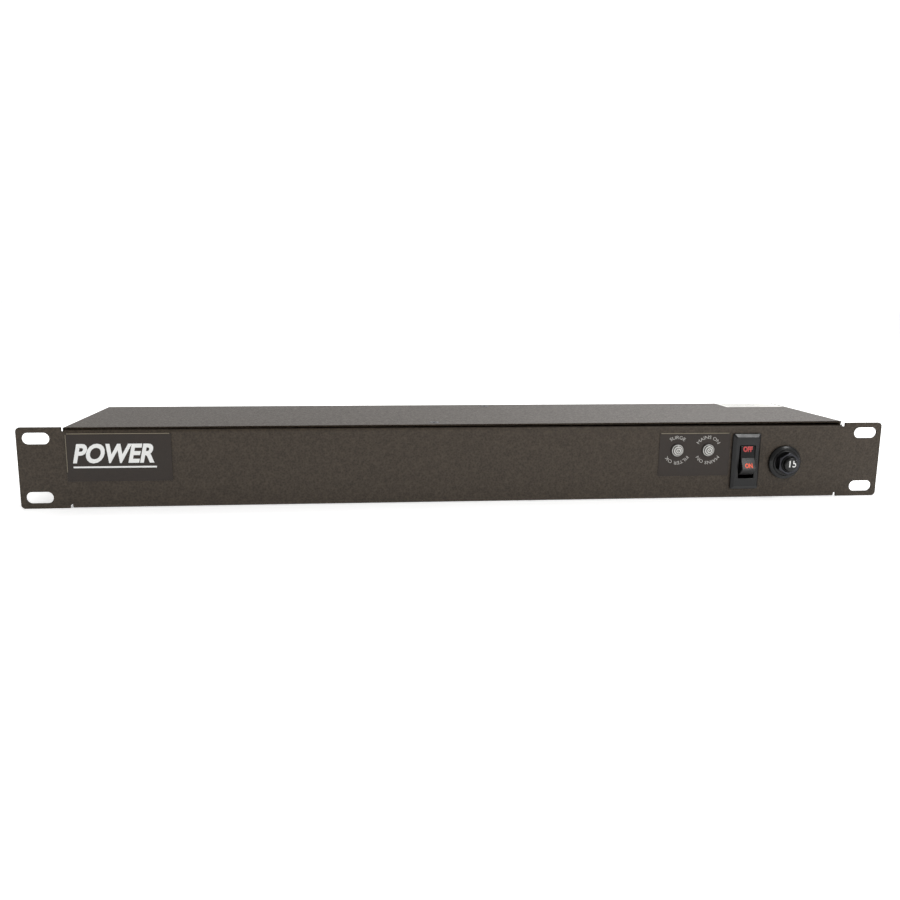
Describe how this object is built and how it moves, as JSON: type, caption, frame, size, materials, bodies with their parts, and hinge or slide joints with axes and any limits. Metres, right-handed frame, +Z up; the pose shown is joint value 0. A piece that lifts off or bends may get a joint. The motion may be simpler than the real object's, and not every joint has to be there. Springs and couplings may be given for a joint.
{
  "type": "rack power strip",
  "caption": "Rack-mount mains power strip: one-unit steel case with slotted ears, indicator lamps, rocker switch and reset breaker in front, outlets and an inlet behind.",
  "frame": {"origin": "middle of the width and depth, at the underside of the tray", "axes": "+X along the panel to the right as seen from the front, +Y from the front into the rack, +Z up"},
  "size_m": [0.4826, 0.1024, 0.0448],
  "materials": {
    "painted_steel": "fine textured powder coat, dark brown-grey",
    "black_plastic": "satin black",
    "white_nylon": "satin natural nylon",
    "black_steel": "black oxide",
    "plated_steel": "bright zinc or nickel plate",
    "brass": "bare, rolled",
    "copper": "bare, rolled",
    "plate_film": "satin printed film",
    "label_paper": "matt white",
    "clear_plastic": "clear, moulded",
    "lamp_glass": "clear",
    "circuit_board": "satin solder mask",
    "varistor_coating": "dipped epoxy",
    "black_insulation": "satin PVC",
    "white_insulation": "satin PVC",
    "green_insulation": "satin PVC"
  },
  "bodies": {
    "chassis": {"chassis_tray": "painted_steel", "top_cover": "painted_steel", "switch_housing": "black_plastic", "breaker_body": "black_plastic", "breaker_face_ring": "black_plastic", "inlet_body": "black_plastic", "outlet_1": "black_plastic", "outlet_2": "black_plastic", "outlet_3": "black_plastic", "outlet_4": "black_plastic", "outlet_5": "black_plastic", "outlet_6": "black_plastic", "outlet_7": "black_plastic", "outlet_8": "black_plastic", "indicator_holder_1": "white_nylon", "indicator_holder_2": "white_nylon", "board_guide_left": "white_nylon", "board_guide_right": "white_nylon", "cover_screw_front": "black_steel", "cover_screw_rear": "black_steel", "side_screw_left": "black_steel", "side_screw_right": "black_steel", "inlet_screw_left": "black_steel", "inlet_screw_right": "black_steel", "breaker_hex_nut": "black_steel", "breaker_spring": "plated_steel", "inlet_pin_line": "plated_steel", "inlet_pin_neutral": "plated_steel", "inlet_pin_ground": "plated_steel", "ground_stud": "plated_steel", "ground_nut": "plated_steel", "switch_terminal_line": "brass", "switch_terminal_load": "brass", "breaker_terminal_line": "brass", "breaker_terminal_load": "brass", "line_bus_bar": "brass", "neutral_bus_bar": "brass", "ground_bus_bar": "brass", "breaker_bimetal": "copper", "name_plate": "plate_film", "indicator_label": "plate_film", "rating_label": "label_paper", "indicator_lens_1": "clear_plastic", "indicator_lens_2": "clear_plastic", "indicator_lamp_1": "lamp_glass", "indicator_lamp_2": "lamp_glass", "surge_board": "circuit_board", "varistor_1": "varistor_coating", "varistor_2": "varistor_coating", "wire_inlet_to_breaker": "black_insulation", "wire_breaker_to_switch": "black_insulation", "wire_switch_to_bus": "black_insulation", "wire_inlet_to_neutral": "white_insulation", "wire_inlet_to_stud": "green_insulation", "wire_stud_to_ground_bus": "green_insulation"},
    "rocker": {"switch_rocker": "black_plastic", "switch_plunger": "plated_steel"},
    "contact_arm": {"switch_contact_arm": "copper"},
    "button": {"breaker_button": "black_plastic"}
  },
  "joints": [
    {"name": "rocker_hinge", "type": "hinge", "parent": "chassis", "child": "rocker", "pos_m": [0.1586, -0.03725, 0.0216], "axis": [1, 0, 0], "range_deg": [0, 32]},
    {"name": "contact_arm_hinge", "type": "hinge", "parent": "chassis", "child": "contact_arm", "pos_m": [0.1586, -0.02595, 0.0216], "axis": [1, 0, 0], "range_deg": [-12, 0]},
    {"name": "breaker_button_slide", "type": "slide", "parent": "chassis", "child": "button", "axis": [0, -1, 0], "range_m": [0, 0.004], "deforming": ["breaker_spring"]}
  ],
  "couplings": [
    {"joint": "contact_arm_hinge", "follows": "rocker_hinge", "ratio": -0.375}
  ]
}
